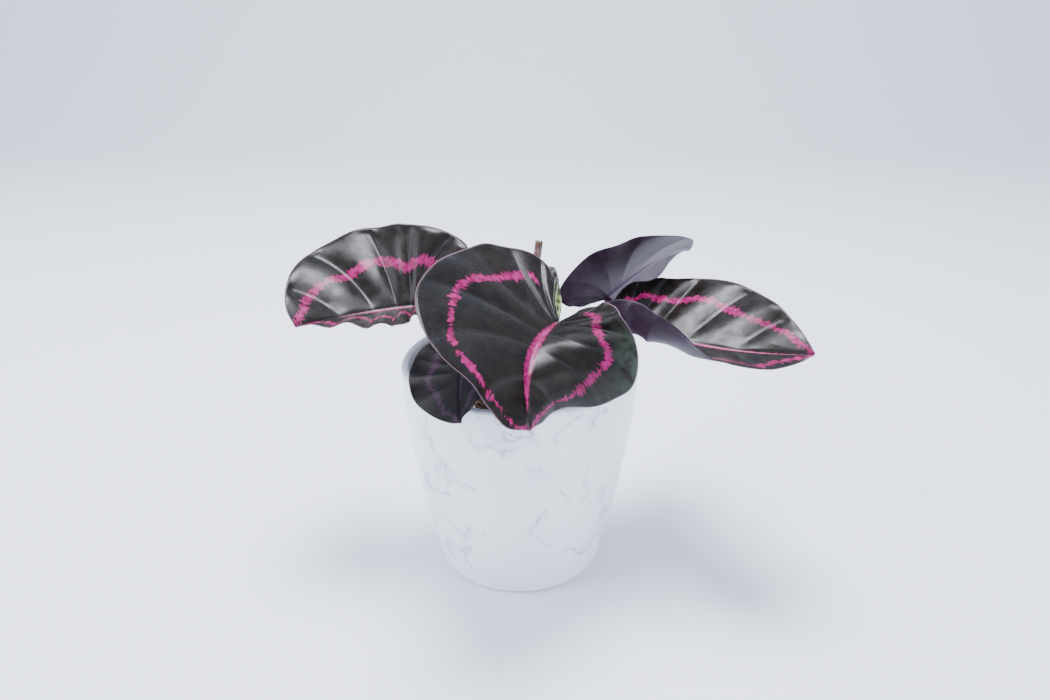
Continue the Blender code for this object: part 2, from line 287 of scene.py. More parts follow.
def piece(name, points, faces, materials, slots, nodes=(), values=None):
    """Makes one smooth object that rides on the body, and stands for the frame's nodes given."""
    mesh = bpy.data.meshes.new(name)
    mesh.from_pydata(np.asarray(points).tolist(), [], faces)
    for material in materials:
        mesh.materials.append(material)
    if slots is not None:
        mesh.polygons.foreach_set("material_index", np.asarray(slots, dtype=np.int32))
    for key, value in (values or {}).items():
        layer = mesh.attributes.new(key, "FLOAT", "POINT")
        layer.data.foreach_set("value", np.asarray(value, dtype=np.float32))
    mesh.shade_smooth()
    mesh.validate()
    made = bpy.data.objects.new(name, mesh)
    bpy.context.collection.objects.link(made)
    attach(made, BODY)
    if nodes:
        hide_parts(*nodes)
    return made


def ring_faces(rings, sides):
    """Faces that join stacked rings of points, and close both ends on the two points after them."""
    start, end = rings * sides, rings * sides + 1
    faces = []
    for row in range(rings - 1):
        for i in range(sides):
            a, b = row * sides + i, row * sides + (i + 1) % sides
            faces.append((a, b, b + sides, a + sides))
    last = (rings - 1) * sides
    for i in range(sides):
        j = (i + 1) % sides
        faces.append((start, j, i))
        faces.append((end, last + i, last + j))
    return faces


def turned_mesh(profile, sides):
    """Points and faces of a closed (radius, height) profile turned about Z; its ends lie on the axis."""
    inner = np.array(profile[1:-1])
    turns = np.arange(sides) * 2 * pi / sides
    rings = np.empty((len(inner), sides, 3))
    rings[..., 0] = inner[:, :1] * np.cos(turns)
    rings[..., 1] = inner[:, :1] * np.sin(turns)
    rings[..., 2] = inner[:, 1:]
    points = np.vstack([rings.reshape(-1, 3), [[0, 0, profile[0][1]], [0, 0, profile[-1][1]]]])
    return points, ring_faces(len(inner), sides)


def tube_mesh(path, radii, sides):
    """Points and faces of a closed tube. radii is per path point, or per path point and side."""
    along = np.gradient(path, axis=0)
    along[0] = (0, 0, 1)
    along /= np.linalg.norm(along, axis=1)[:, None]
    side = np.cross(along, (0.3, 1, 0.1))
    side /= np.linalg.norm(side, axis=1)[:, None]
    other = np.cross(along, side)
    turns = np.arange(sides) * 2 * pi / sides
    radii = np.broadcast_to(np.asarray(radii).reshape(len(path), -1), (len(path), sides))
    ring = side[:, None] * np.cos(turns)[:, None] + other[:, None] * np.sin(turns)[:, None]
    points = path[:, None] + ring * radii[..., None]
    points = np.vstack([points.reshape(-1, 3), path[:1], path[-1:]])
    return points, ring_faces(len(path), sides)


def bezier(start, start_handle, end_handle, end, t):
    t = np.asarray(t)[..., None]
    return (
        (1 - t) ** 3 * np.asarray(start)
        + 3 * (1 - t) ** 2 * t * np.asarray(start_handle)
        + 3 * (1 - t) * t**2 * np.asarray(end_handle)
        + t**3 * np.asarray(end)
    )


# Finishes


def glazed_marbled_ceramic(colours):
    """Slip-cast stoneware under a white glaze: a soft clear gloss over thin blue-grey marbling."""
    made, tree = fresh_material("glazed_marbled_ceramic")
    place = millimetres(tree)
    drift = node(tree, "TexNoise", (place, 1 / 16, 3.0, 0.55)).outputs["Color"]
    drift = node(tree, "VectorMath", (drift, (15, 15, 15)), operation="MULTIPLY")
    bent = node(tree, "VectorMath", (place, drift), operation="ADD")
    line = math(tree, "ABSOLUTE", math(tree, "SUBTRACT", grain(tree, bent, 34, 2.0, 0.45), 0.5))
    thin = mapped(tree, line, 0.002, 0.010, 1, 0)
    halo = mapped(tree, line, 0.0, 0.06, 0.30, 0)
    patches = mapped(tree, grain(tree, place, 26, 1.0), 0.46, 0.56)
    veins = math(tree, "MULTIPLY", math(tree, "MAXIMUM", thin, halo), patches)
    cloud = mapped(tree, grain(tree, place, 42, 2.0), 0.45, 0.75, 0, 0.35)
    body = mixed(tree, cloud, tuple(colours.pot), linear("#e6ecf6"))
    colour = mixed(tree, math(tree, "MULTIPLY", veins, 0.75), body, tuple(colours.marbling))
    finish_material(
        tree,
        {"Base Color": colour, "Roughness": 0.32, "IOR": 1.5, "Coat Weight": 0.35, "Coat Roughness": 0.12},
        grain(tree, place, 9, 2.0), 0.05 * MM,
    )
    return made


def moulded_black_polypropylene(colours):
    """Thin blow-moulded polypropylene: near black, dull, with faint flow marks and dust."""
    made, tree = fresh_material("moulded_black_polypropylene")
    place = millimetres(tree)
    dust = mapped(tree, grain(tree, place, 7, 5.0, 0.65), 0.5, 0.8)
    colour = mixed(tree, dust, tuple(colours.plastic), linear("#2b2624"))
    rough = mapped(tree, dust, 0, 1, 0.38, 0.62)
    finish_material(
        tree, {"Base Color": colour, "Roughness": rough, "IOR": 1.49}, grain(tree, place, 1.5), 0.06 * MM,
    )
    return made


def damp_peat_mix(colours):
    """Damp peat with fine bark: dark brown, matt and fibrous, paler where it has dried."""
    made, tree = fresh_material("damp_peat_mix")
    place = millimetres(tree)
    dried = mapped(tree, grain(tree, place, 5, 5.0, 0.6), 0.42, 0.68)
    colour = mixed(tree, dried, tuple(colours.mix), linear("#5a4334"))
    fibre = grain(tree, place, 0.8, 5.0, 0.7)
    finish_material(tree, {"Base Color": colour, "Roughness": 0.92}, fibre, 0.5 * MM)
    return made


def expanded_perlite(colours):
    """Expanded volcanic glass grains: chalky white and pitted, stained by the peat."""
    made, tree = fresh_material("expanded_perlite")
    place = millimetres(tree)
    stain = mapped(tree, grain(tree, place, 2.5, 4.0), 0.5, 0.75)
    colour = mixed(tree, stain, linear("#e4e0d8"), linear("#8d7c6c"))
    finish_material(tree, {"Base Color": colour, "Roughness": 0.85}, grain(tree, place, 0.6), 0.3 * MM)
    return made


def fibrous_rootstock(colours):
    """Dry sheath bases round a short rhizome: brown papery fibres, purplish where still alive."""
    made, tree = fresh_material("fibrous_rootstock")
    place = millimetres(tree)
    stretched = node(tree, "VectorMath", (place, (1, 1, 0.18)), operation="MULTIPLY")
    fibre = grain(tree, stretched, 0.9, 4.0, 0.65)
    alive = mapped(tree, grain(tree, place, 8), 0.45, 0.6)
    skin = mixed(tree, alive, linear("#5b4331"), linear("#5e3a48"))
    colour = mixed(tree, mapped(tree, fibre, 0.35, 0.65), linear("#2c1f19"), skin)
    finish_material(tree, {"Base Color": colour, "Roughness": 0.75}, fibre, 0.4 * MM)
    return made


def living_stalk(colours):
    """Fleshy purple-red stalk: satin skin with fine ribs along it, flecked with green."""
    made, tree = fresh_material("living_stalk")
    place = millimetres(tree)
    stretched = node(tree, "VectorMath", (place, (1, 1, 0.12)), operation="MULTIPLY")
    streak = grain(tree, stretched, 0.8, 4.0, 0.6)
    green = mapped(tree, grain(tree, place, 9, 2.0), 0.5, 0.66, 0, 0.6)
    skin = mixed(tree, green, tuple(colours.stalk), linear("#6c7446"))
    colour = mixed(tree, mapped(tree, streak, 0.3, 0.7), linear("#3c1d2b"), skin)
    finish_material(tree, {"Base Color": colour, "Roughness": 0.42, "IOR": 1.45}, streak, 0.12 * MM)
    return made


def dried_cut_stalk(colours):
    """Old stalk cut short: pink-purple skin drying to yellow-green streaks, browned at the cut."""
    made, tree = fresh_material("dried_cut_stalk")
    place = millimetres(tree)
    stretched = node(tree, "VectorMath", (place, (1, 1, 0.10)), operation="MULTIPLY")
    streak = mapped(tree, grain(tree, stretched, 1.1, 3.0), 0.48, 0.66)
    skin = mixed(tree, streak, linear("#74405a"), linear("#8f8c50"))
    brown = mapped(tree, attribute(tree, "along"), 0.93, 0.985)
    colour = mixed(tree, brown, skin, linear("#5a4030"))
    finish_material(tree, {"Base Color": colour, "Roughness": 0.6}, streak, 0.25 * MM)
    return made


def stroke(tree, value, strokes, depth):
    """value in mm, roughened by strokes that run along the lateral veins, which feather a painted edge."""
    out = math(tree, "MULTIPLY", attribute(tree, "out"), 0.05)
    coordinates = node(tree, "CombineXYZ", (attribute(tree, "vein"), out, attribute(tree, "seed")))
    for finer in (1, 4):  # broad teeth, and hair-fine strokes on them
        ragged = math(tree, "SUBTRACT", grain(tree, coordinates, 1 / (strokes * finer), 3.0, 0.7), 0.5)
        value = math(tree, "ADD", value, math(tree, "MULTIPLY", ragged, depth))
    return value


def painted_blade_top(colours):
    """Waxy upper skin: charcoal green with a satin sheen and a rose ring, stripe and margin."""
    made, tree = fresh_material("painted_blade_top")
    place = millimetres(tree)
    mottle = mapped(tree, grain(tree, place, 9, 4.0, 0.6), 0.35, 0.7)
    blade = mixed(tree, mottle, tuple(colours.blade), linear("#1e1814"))
    crease = mapped(tree, attribute(tree, "crease"), 0.0, 0.30, 0.45, 0)
    blade = mixed(tree, crease, blade, linear("#2c2b2d"))
    blotches = mapped(tree, grain(tree, place, 5, 3.0), 0.35, 0.6)
    lime = math(tree, "MULTIPLY", attribute(tree, "lime"), blotches)
    blade = mixed(tree, lime, blade, linear("#8fae5a"))
    broad_blotches = mapped(tree, grain(tree, place, 7, 2.0), 0.35, 0.6)
    moss = math(tree, "MULTIPLY", attribute(tree, "moss"), broad_blotches)
    blade = mixed(tree, moss, blade, linear("#4a5d4c"))
    rose = mixed(tree, mapped(tree, grain(tree, place, 3, 3.0), 0.35, 0.65), tuple(colours.rose),
                 linear("#9c1c64"))
    ring = mapped(tree, stroke(tree, attribute(tree, "ring"), 34, 8.0), -0.3, 0.3, 1, 0)
    stripe = mapped(tree, stroke(tree, attribute(tree, "stripe"), 90, 2.4), -0.35, 0.35, 1, 0)
    edge = mapped(tree, attribute(tree, "edge"), 0.2, 0.6, 0.40, 0)
    paint = math(tree, "MAXIMUM", ring, stripe)
    # painted shade: on the small leaf in the front leaf's shadow, the blade is darkened to near-black, the
    # rose to maroon and the margin to grey; the same value also makes that leaf rougher
    painted_shade = attribute(tree, "painted_shade")
    rose = mixed(tree, painted_shade, rose, linear("#3a2236"))
    blade = mixed(tree, math(tree, "MULTIPLY", painted_shade, 0.85), blade, linear("#0d0b10"))
    colour = mixed(tree, math(tree, "MULTIPLY", paint, 0.94), blade, rose)
    rim = mixed(tree, painted_shade, linear("#b98aa6"), linear("#4a3a48"))
    colour = mixed(tree, edge, colour, rim)
    rough = mapped(tree, grain(tree, place, 6, 3.0), 0.3, 0.7, 0.22, 0.36)
    rough = math(tree, "MAXIMUM", rough, math(tree, "MULTIPLY", painted_shade, 0.58))
    finish_material(
        tree, {"Base Color": colour, "Roughness": rough, "IOR": 1.4, "Specular IOR Level": 0.32},
        grain(tree, place, 0.9, 2.0), 0.02 * MM,
    )
    return made


def purple_blade_underside(colours):
    """Downy underside: dusty purple with paler veins, and little gloss."""
    made, tree = fresh_material("purple_blade_underside")
    place = millimetres(tree)
    mottle = mapped(tree, grain(tree, place, 8, 4.0, 0.6), 0.35, 0.7)
    colour = mixed(tree, mottle, tuple(colours.underside), linear("#3a2138"))
    vein = mapped(tree, attribute(tree, "crease"), 0.0, 0.2, 0.35, 0)
    colour = mixed(tree, vein, colour, linear("#4d354a"))
    rib = mapped(tree, attribute(tree, "rib"), 0.5, 1.2, 0.8, 0)
    colour = mixed(tree, rib, colour, linear("#6d5a72"))
    # painted shade: the small leaf's underside is darkened to near-black for the front leaf's shadow
    colour = mixed(tree, attribute(tree, "painted_shade"), colour, linear("#1c1620"))
    finish_material(
        tree,
        {"Base Color": colour, "Roughness": 0.5, "Specular IOR Level": 0.35, "Sheen Weight": 0.04},
        grain(tree, place, 0.7, 2.0), 0.08 * MM,
    )
    return made


# Pots


def pot_radius(height):
    share = 1 - (1 - height / POT_HEIGHT) ** POT_BELLY
    return POT_FOOT_RADIUS + (POT_RIM_RADIUS - POT_FOOT_RADIUS) * share


def cover_pot_profile():
    rounding = POT_FOOT_ROUNDING
    foot = pot_radius(rounding)
    edge = [
        (foot - rounding * (1 - sin(turn)), rounding * (1 - cos(turn)))
        for turn in np.linspace(0, pi / 2, 10)
    ]
    heights = np.linspace(rounding, POT_HEIGHT - POT_WALL / 2, 60)[1:]
    outside = [(pot_radius(height), height) for height in heights]
    middle = pot_radius(heights[-1]) - POT_WALL / 2
    lip = [
        (middle + POT_WALL / 2 * cos(turn), heights[-1] + POT_WALL / 2 * sin(turn))
        for turn in np.linspace(0, pi, 13)[1:-1]
    ]
    inner = np.linspace(POT_HEIGHT - POT_WALL / 2, POT_FLOOR + 3 * MM, 30)
    inside = [(pot_radius(height) - POT_WALL, height) for height in inner]
    corner = pot_radius(POT_FLOOR) - POT_WALL
    inside += [(corner - 3 * MM * (1 - cos(turn)), POT_FLOOR + 3 * MM * (1 - sin(turn)))
               for turn in np.linspace(0, pi / 2, 6)[1:]]
    return [(0, 0), *edge, *outside, *lip, *inside, (0, POT_FLOOR)]


def nursery_profile():
    """The thin pot with its rolled rim, turned down over the wall."""
    low, high = NURSERY_LOW.z, NURSERY_HIGH.z
    outer = NURSERY_HIGH.x
    wall = NURSERY_WALL
    foot, top = NURSERY_FOOT_RADIUS, outer - NURSERY_FLANGE

    def side(height):
        return foot + (top - foot) * (height - low) / (high - low)

    under = high - NURSERY_FLANGE_DEPTH
    heights = np.linspace(low + 1.5 * MM, under, 24)
    roll = [(outer - wall / 2 + wall / 2 * cos(turn), under + wall / 2 + wall / 2 * sin(turn))
            for turn in np.linspace(-pi / 2, 0, 4)]
    crest = [(outer - wall + wall * cos(turn), high - wall + wall * sin(turn))
             for turn in np.linspace(0, pi / 2, 6)]
    inner = np.linspace(high - wall / 2, low + wall, 24)
    return [
        (0, low), (foot - 1.5 * MM, low), *[(side(z), z) for z in heights], *roll, *crest,
        (top - wall * 0.6, high), *[(side(z) - wall, z) for z in inner], (0, low + wall),
    ]


# Leaves


def outline(vein, widest, taper, lobe):
    """Half a blade's outline at unit width and length, from the notch (0) round its lobe to the tip (1)."""
    corners = (
        ((0, 0), (0.14, -0.62 * lobe), (0.28, -lobe), (0.52, -lobe)),
        ((0.52, -lobe), (0.80, -lobe), (1, 0.10), (1, widest)),
        ((1, widest), (1, 0.66), (taper, 0.88), (0, 1)),
    )
    run = np.clip(vein * 3, 0, 2.999999)
    curves = [bezier(*four, run % 1) for four in corners]
    return np.choose(run.astype(int)[..., None], curves)


def midrib(leaf):
    """Samples along the midrib, from behind the stem to the tip: share, points and three directions."""
    share = np.linspace(-max(leaf.lobe) - 0.02, 1, 160)
    ahead = np.clip(share, 0, None)
    behind = np.clip(share, None, 0)
    first, linear_change, quadratic = leaf.rise
    rise = np.radians(first + linear_change * ahead + quadratic * ahead**2 + leaf.recurve * behind)
    heading = np.radians(leaf.heading[0] + leaf.heading[1] * ahead)
    roll = np.radians(leaf.roll[0] + leaf.roll[1] * share)[:, None]
    along = np.stack([np.cos(rise) * np.cos(heading), np.cos(rise) * np.sin(heading), np.sin(rise)], -1)
    level = np.stack([-np.sin(heading), np.cos(heading), 0 * heading], -1)
    over = np.cross(along, level)
    side = np.cos(roll) * level + np.sin(roll) * over
    up = np.cos(roll) * over - np.sin(roll) * level
    steps = (along[1:] + along[:-1]) / 2 * np.diff(share)[:, None] * leaf.length * MM
    points = np.vstack([np.zeros(3), np.cumsum(steps, axis=0)])
    origin = [np.interp(0, share, points[:, axis]) for axis in range(3)]
    return share, points - origin + np.array(leaf.at) * MM, along, side, up


def sampled(share, values, at):
    return np.stack([np.interp(at, share, values[:, axis]) for axis in range(3)], -1)


def half_blade(leaf, half, vein, out):
    """Points of half a blade: vein runs from notch to tip, and out from the midrib to the margin."""
    edge = outline(vein, leaf.widest[half], leaf.taper[half], leaf.lobe[half])
    start = vein**4
    swing = (0.6 * edge[..., 0], start + 0.3 * (edge[..., 1] - start))
    across = 2 * (1 - out) * out * swing[0] + out**2 * edge[..., 0]
    share = (1 - out) ** 2 * start + 2 * (1 - out) * out * swing[1] + out**2 * edge[..., 1]

    samples, points, _, side, up = midrib(leaf)
    width = leaf.half[half] * MM
    fold = np.radians(leaf.fold[half][0] + leaf.fold[half][1] * share)
    curl = np.radians(leaf.curl[half][0] + leaf.curl[half][1] * share)
    curl = np.where(abs(curl) < 1e-3, 1e-3, curl)
    level = width / curl * (np.sin(fold + curl * across) - np.sin(fold))
    height = width / curl * (np.cos(fold) - np.cos(fold + curl * across))
    sign = 1 - 2 * half
    place = sampled(samples, points, share)
    place += sign * level[..., None] * sampled(samples, side, share)
    return place + height[..., None] * sampled(samples, up, share), share


def blade_mesh(leaf, paint, sizes):
    """The blade as one closed skin: points, faces, which faces are the underside, and its paint values."""
    rows, columns = BLADE_ROWS, BLADE_COLUMNS
    veins, outs = np.linspace(0.006, 0.997, rows), np.linspace(0, 1, columns + 1)
    vein, out = np.meshgrid(veins, outs, indexing="ij")
    halves, values = [], []
    for half in (0, 1):
        place, share = half_blade(leaf, half, vein, out)
        outward = place[:, -1:] - place[:, :1]
        outward = outward / (np.linalg.norm(outward, axis=2)[..., None] + 1e-9)
        swell = np.exp(-(((vein - 0.94) / 0.03) ** 2)) - 0.5 * np.exp(-(((vein - 0.85) / 0.03) ** 2))
        place = place + outward * (paint.bulge[half] * MM * swell * out)[..., None]
        steps = np.linalg.norm(np.diff(place, axis=1), axis=2) / MM
        reach = np.concatenate([np.zeros((rows, 1)), np.cumsum(steps, axis=1)], axis=1)
        ring_out = np.interp(vein[:, 0], (0.2, 0.6, 1), paint.ring[half])
        ring_out = ring_out + 0.035 * np.sin(vein[:, 0] * 31 + paint.seed + half)
        ring_width = np.interp(vein[:, 0], (0.2, 0.6, 1), paint.ring_width)
        ring = abs(reach - ring_out[:, None] * reach[:, -1:]) - ring_width[:, None]
        for gap_half, first, last in paint.gaps:
            if gap_half == half:
                inside = np.clip(np.minimum(vein - first, last - vein) * 60, 0, 1)
                ring = ring + 8 * inside
        ring = ring + 8 * np.clip((0.10 - vein) * 30, 0, 1)
        far = np.clip(share / paint.stripe[1], 0, 1)
        stripe_width = paint.stripe[0] * np.sin(pi * far**0.8) ** 0.7 - 2.0 * (share > paint.stripe[1])
        side_reach = reach * np.where(share < 0, 4, 1)
        crease = abs(np.sin(pi * LATERAL_VEINS * vein))
        lime = paint.lime * (half == 1) * np.exp(-(((vein - 0.10) / 0.07) ** 2)) * np.clip(out * 4 - 1, 0, 1)
        moss = 0.6 * paint.lime * (half == 0) * np.exp(-(((vein - 0.62) / 0.10) ** 2))
        moss = moss * np.clip(out * 3 - 2, 0, 1)
        halves.append(place)
        values.append({
            "vein": vein, "out": out, "ring": ring, "stripe": side_reach - stripe_width + 0.2,
            "edge": reach[:, -1:] - reach, "crease": crease, "lime": lime, "moss": moss,
            "seed": np.full_like(vein, paint.seed + 3 * half), "rib": reach,
            # painted shade: how far this leaf's colours are darkened for the shadow it lies in
            "painted_shade": np.full_like(vein, paint.painted_shade),
        })
    grid = np.concatenate([halves[0][:, :0:-1], halves[1]], axis=1)
    merged = {
        key: np.concatenate([values[0][key][:, :0:-1], values[1][key]], axis=1) for key in values[0]
    }

    down = np.gradient(grid, axis=0)
    over = np.gradient(grid, axis=1)
    normal = np.cross(over, down)
    normal /= np.linalg.norm(normal, axis=2)[..., None] + 1e-12
    if normal[rows // 2, columns] @ midrib(leaf)[4][60] < 0:
        normal = -normal
    body = np.clip(merged["out"] * 3, 0, 1) * np.clip(merged["edge"] / 3, 0.25, 1)
    body = body * np.clip(merged["vein"] * 4, 0.1, 1) * np.clip((1 - merged["vein"]) * 8, 0, 1)
    pleat = paint.pleats * sizes.pleats * (merged["crease"] ** 0.8 - 0.6) * body
    wave = paint.waves * merged["out"] ** 5 * np.sin(
        merged["vein"] * 2 * pi * 6.5 + paint.seed + 1.3 * np.sin(merged["vein"] * 17 + merged["seed"])
    )
    wave = wave * np.clip(merged["vein"] * 6, 0, 1) * np.clip((1 - merged["vein"]) * 12, 0, 1)
    groove = -0.5 * np.exp(-((merged["rib"] / 1.2) ** 2))
    middle = grid + normal * ((pleat + wave + groove) * MM)[..., None]
    thin = sizes.thickness * (1 - 0.55 * merged["out"] ** 8)
    rib = 0.8 * MM * np.exp(-((merged["rib"] / 0.9) ** 2)) * np.clip((1 - merged["vein"]) * 4, 0, 1)
    top = middle + normal * (thin / 2)[..., None]
    bottom = middle - normal * (thin / 2 + rib)[..., None]

    wide = grid.shape[1]
    count = rows * wide
    index = np.arange(count).reshape(rows, wide)
    quads = np.stack([index[:-1, :-1], index[1:, :-1], index[1:, 1:], index[:-1, 1:]], -1).reshape(-1, 4)
    rim = np.concatenate([index[0, :-1], index[:-1, -1], index[-1, :0:-1], index[:0:-1, 0]])
    after = np.roll(rim, -1)
    sides = np.stack([rim, after, after + count, rim + count], -1)
    first, second, third = (top.reshape(-1, 3)[quads[len(quads) // 2][k]] for k in (0, 1, 2))
    facing = np.cross(second - first, third - second) @ normal.reshape(-1, 3)[quads[len(quads) // 2][0]]
    faces = np.concatenate([quads, quads[:, ::-1] + count, sides])
    if facing < 0:
        faces = faces[:, ::-1]
    under = np.concatenate([np.zeros(len(quads)), np.ones(len(quads) + len(sides))])
    points = np.concatenate([top.reshape(-1, 3), bottom.reshape(-1, 3)])
    return points, faces.tolist(), under, {key: np.tile(v.reshape(-1), 2) for key, v in merged.items()}


def stem_path(leaf, count):
    share, points, along, _, up = midrib(leaf)
    at_stem = [sampled(share, values, 0.0) for values in (points, along, up)]
    end = at_stem[0] + 1.5 * MM * at_stem[1] - 1.5 * MM * at_stem[2]
    turn = radians(leaf.stem_at)
    start = np.array([STEM_CIRCLE * cos(turn), STEM_CIRCLE * sin(turn), CROWN_HIGH.z + GAP])
    reach = np.linalg.norm(end - start)
    return bezier(
        start, start + reach * 0.4 * np.array([0, 0, 1]), end - reach * 0.25 * at_stem[2], end,
        np.linspace(0, 1, count),
    )


def ribbed(radii, sides, ribs, depth, generator):
    """Radii round a stalk, with ribs that wander a little on their way up."""
    turns = np.arange(sides) * 2 * pi / sides
    wander = np.cumsum(generator.normal(0, 0.03, len(radii)))
    return radii[:, None] * (1 + depth * np.sin(ribs * (turns + wander[:, None])))


def icosahedron_corners():
    """The twelve corners of an icosahedron whose edges are 2 long."""
    corners = [(0, s, t * GOLDEN) for s in (-1, 1) for t in (-1, 1)]
    corners += [(s, t * GOLDEN, 0) for s in (-1, 1) for t in (-1, 1)]
    corners += [(t * GOLDEN, 0, s) for s in (-1, 1) for t in (-1, 1)]
    return np.array(corners, dtype=float)


def blob(centre, radius, generator, flat=0.8):
    """A rough little lump of twelve corners and twenty faces."""
    corners = icosahedron_corners() / (1 + GOLDEN**2) ** 0.5
    stretch = generator.uniform(0.6, 1.3, 3) * (1, 1, flat)
    spin = np.linalg.qr(generator.normal(size=(3, 3)))[0]
    return centre + (corners * generator.uniform(0.75, 1.2, (12, 1)) * stretch) @ spin * radius


def blob_faces():
    """The faces of a blob, found as the triples of corners that lie one edge apart."""
    corners = icosahedron_corners()
    near = np.linalg.norm(corners[:, None] - corners[None], axis=2) < 2.1
    faces = []
    for a in range(12):
        for b in range(a + 1, 12):
            for c in range(b + 1, 12):
                if near[a, b] and near[b, c] and near[a, c]:
                    outward = np.cross(corners[b] - corners[a], corners[c] - corners[a]) @ corners[a]
                    faces.append((a, b, c) if outward > 0 else (a, c, b))
    return faces


# Settings


class CalatheaSizes(bpy.types.PropertyGroup):
    thickness: bpy.props.FloatProperty(
        name="Blade thickness", description="Thickness of a blade away from its midrib",
        default=0.45 * MM, min=0.2 * MM, unit="LENGTH",
    )
    pleats: bpy.props.FloatProperty(
        name="Pleat depth", description="How deep the blades are pleated, as a share of the usual depth",
        default=1.0, min=0, subtype="FACTOR",
    )
    crumbs: bpy.props.IntProperty(
        name="Crumbs", description="Number of loose crumbs on the potting mix", default=1500, min=0,
    )
    perlite: bpy.props.IntProperty(
        name="Perlite grains", description="Number of perlite grains on the potting mix",
        default=70, min=0,
    )


def colour_property(name, description, hex_colour):
    return bpy.props.FloatVectorProperty(
        name=name, description=description, default=linear(hex_colour), subtype="COLOR", min=0, max=1,
    )


class CalatheaColours(bpy.types.PropertyGroup):
    blade: colour_property("Blade", "Upper side of the blades", "#110d0b")
    rose: colour_property("Rose", "Ring and midrib stripe on the blades", "#740f43")
    underside: colour_property("Underside", "Underside of the blades", "#291627")
    stalk: colour_property("Stalk", "Skin of the leaf stalks", "#6a3648")
    pot: colour_property("Pot glaze", "Glaze of the cover pot", "#f6f8fd")
    marbling: colour_property("Marbling", "Veins in the glaze of the cover pot", "#9aabc6")
    plastic: colour_property("Plastic", "Nursery pot", "#121213")
    mix: colour_property("Potting mix", "Damp potting mix", "#2a1d16")


# Operators


class CALATHEA_OT_stage(bpy.types.Operator):
    """Sets the camera, the soft studio light and the pale floor"""

    bl_idname = "calathea.stage"
    bl_label = "Stage"

    def execute(self, context):
        camera = bpy.data.objects.new("camera", bpy.data.cameras.new("camera"))
        camera.data.lens = CAMERA_LENS
        camera.location = CAMERA_PLACE
        camera.rotation_euler = (radians(90 - CAMERA_PITCH), 0, 0)
        context.collection.objects.link(camera)
        context.scene.camera = camera

        depths = np.concatenate([[-2.0, 1.2], 1.2 + 0.6 * np.sin(np.linspace(0.1, pi / 2, 16)), [1.8]])
        heights = np.concatenate([[0, 0], 0.6 * (1 - np.cos(np.linspace(0.1, pi / 2, 16))), [3.0]])
        points = [(x, y, z) for y, z in zip(depths, heights) for x in (-3, 3)]
        faces = [(2 * i, 2 * i + 1, 2 * i + 3, 2 * i + 2) for i in range(len(depths) - 1)]
        mesh = bpy.data.meshes.new("floor")
        mesh.from_pydata(points, [], faces)
        mesh.shade_smooth()
        made, tree = fresh_material("pale_matt_board")
        finish_material(tree, {"Base Color": linear("#f3f6fc"), "Roughness": 0.8})
        mesh.materials.append(made)
        floor = bpy.data.objects.new("floor", mesh)
        context.collection.objects.link(floor)

        lights = (
            ("overhead", (-0.05, 0.2, 1.3), (0, 0.1, 0), 0.52, 34),
            ("window", (-1.3, -0.3, 0.9), (0, 0, 0.1), 1.1, 20),
            ("fill", (1.2, -0.9, 0.8), (0, 0, 0.1), 1.2, 12),
        )
        for name, place, target, size, power in lights:
            lamp = bpy.data.lights.new(name, "AREA")
            lamp.shape = "SQUARE"
            lamp.size = size
            lamp.energy = power
            lamp.color = linear("#f4f7ff")
            made = bpy.data.objects.new(name, lamp)
            made.location = place
            made.rotation_euler = (Vector(target) - Vector(place)).to_track_quat("-Z", "Y").to_euler()
            context.collection.objects.link(made)
        world = bpy.data.worlds.new("studio")
        world.use_nodes = True
        world.node_tree.nodes["Background"].inputs["Color"].default_value = (*linear("#d3dff5"), 1)
        world.node_tree.nodes["Background"].inputs["Strength"].default_value = 1.25
        context.scene.world = world
        return {"FINISHED"}


class CALATHEA_OT_cover_pot(bpy.types.Operator):
    """Makes the marbled cover pot"""

    bl_idname = "calathea.cover_pot"
    bl_label = "Cover pot"

    def execute(self, context):
        finish = glazed_marbled_ceramic(context.scene.calathea_colours)
        points, faces = turned_mesh(cover_pot_profile(), 192)
        piece("marbled_cover_pot", points, faces, [finish], None, ["cover_pot"])
        return {"FINISHED"}


class CALATHEA_OT_nursery_pot(bpy.types.Operator):
    """Makes the black nursery pot with its rolled rim and drain holes"""

    bl_idname = "calathea.nursery_pot"
    bl_label = "Nursery pot"

    def execute(self, context):
        finish = moulded_black_polypropylene(context.scene.calathea_colours)
        points, faces = turned_mesh(nursery_profile(), 144)
        made = piece(
            "rolled_rim_nursery_pot", points, faces, [finish], None, ["nursery_pot"],
        )
        corners, walls = [], []
        radius, depth, below = DRAIN_HOLE_RADIUS, 10 * MM, 0.5 * MM
        for turn in np.arange(DRAIN_HOLES) * 2 * pi / DRAIN_HOLES:
            post, post_faces = turned_mesh([(0, 0), (radius, 0), (radius, depth), (0, depth)], 24)
            walls += [tuple(i + len(corners) for i in face) for face in post_faces]
            corners += (post + (DRAIN_CIRCLE * cos(turn), DRAIN_CIRCLE * sin(turn), below)).tolist()
        punch_mesh = bpy.data.meshes.new("drain_punch")
        punch_mesh.from_pydata(corners, [], walls)
        punch = bpy.data.objects.new("drain_punch", punch_mesh)
        context.collection.objects.link(punch)
        cut = made.modifiers.new("drain holes", "BOOLEAN")
        cut.object = punch
        context.view_layer.update()
        drained = bpy.data.meshes.new_from_object(made.evaluated_get(context.evaluated_depsgraph_get()))
        made.modifiers.clear()
        made.data = drained
        bpy.data.objects.remove(punch)
        return {"FINISHED"}


def mix_height(radius):
    return MIX_SURFACE + MIX_DOME * (1 - (radius / NURSERY_TOP_RADIUS) ** 2)


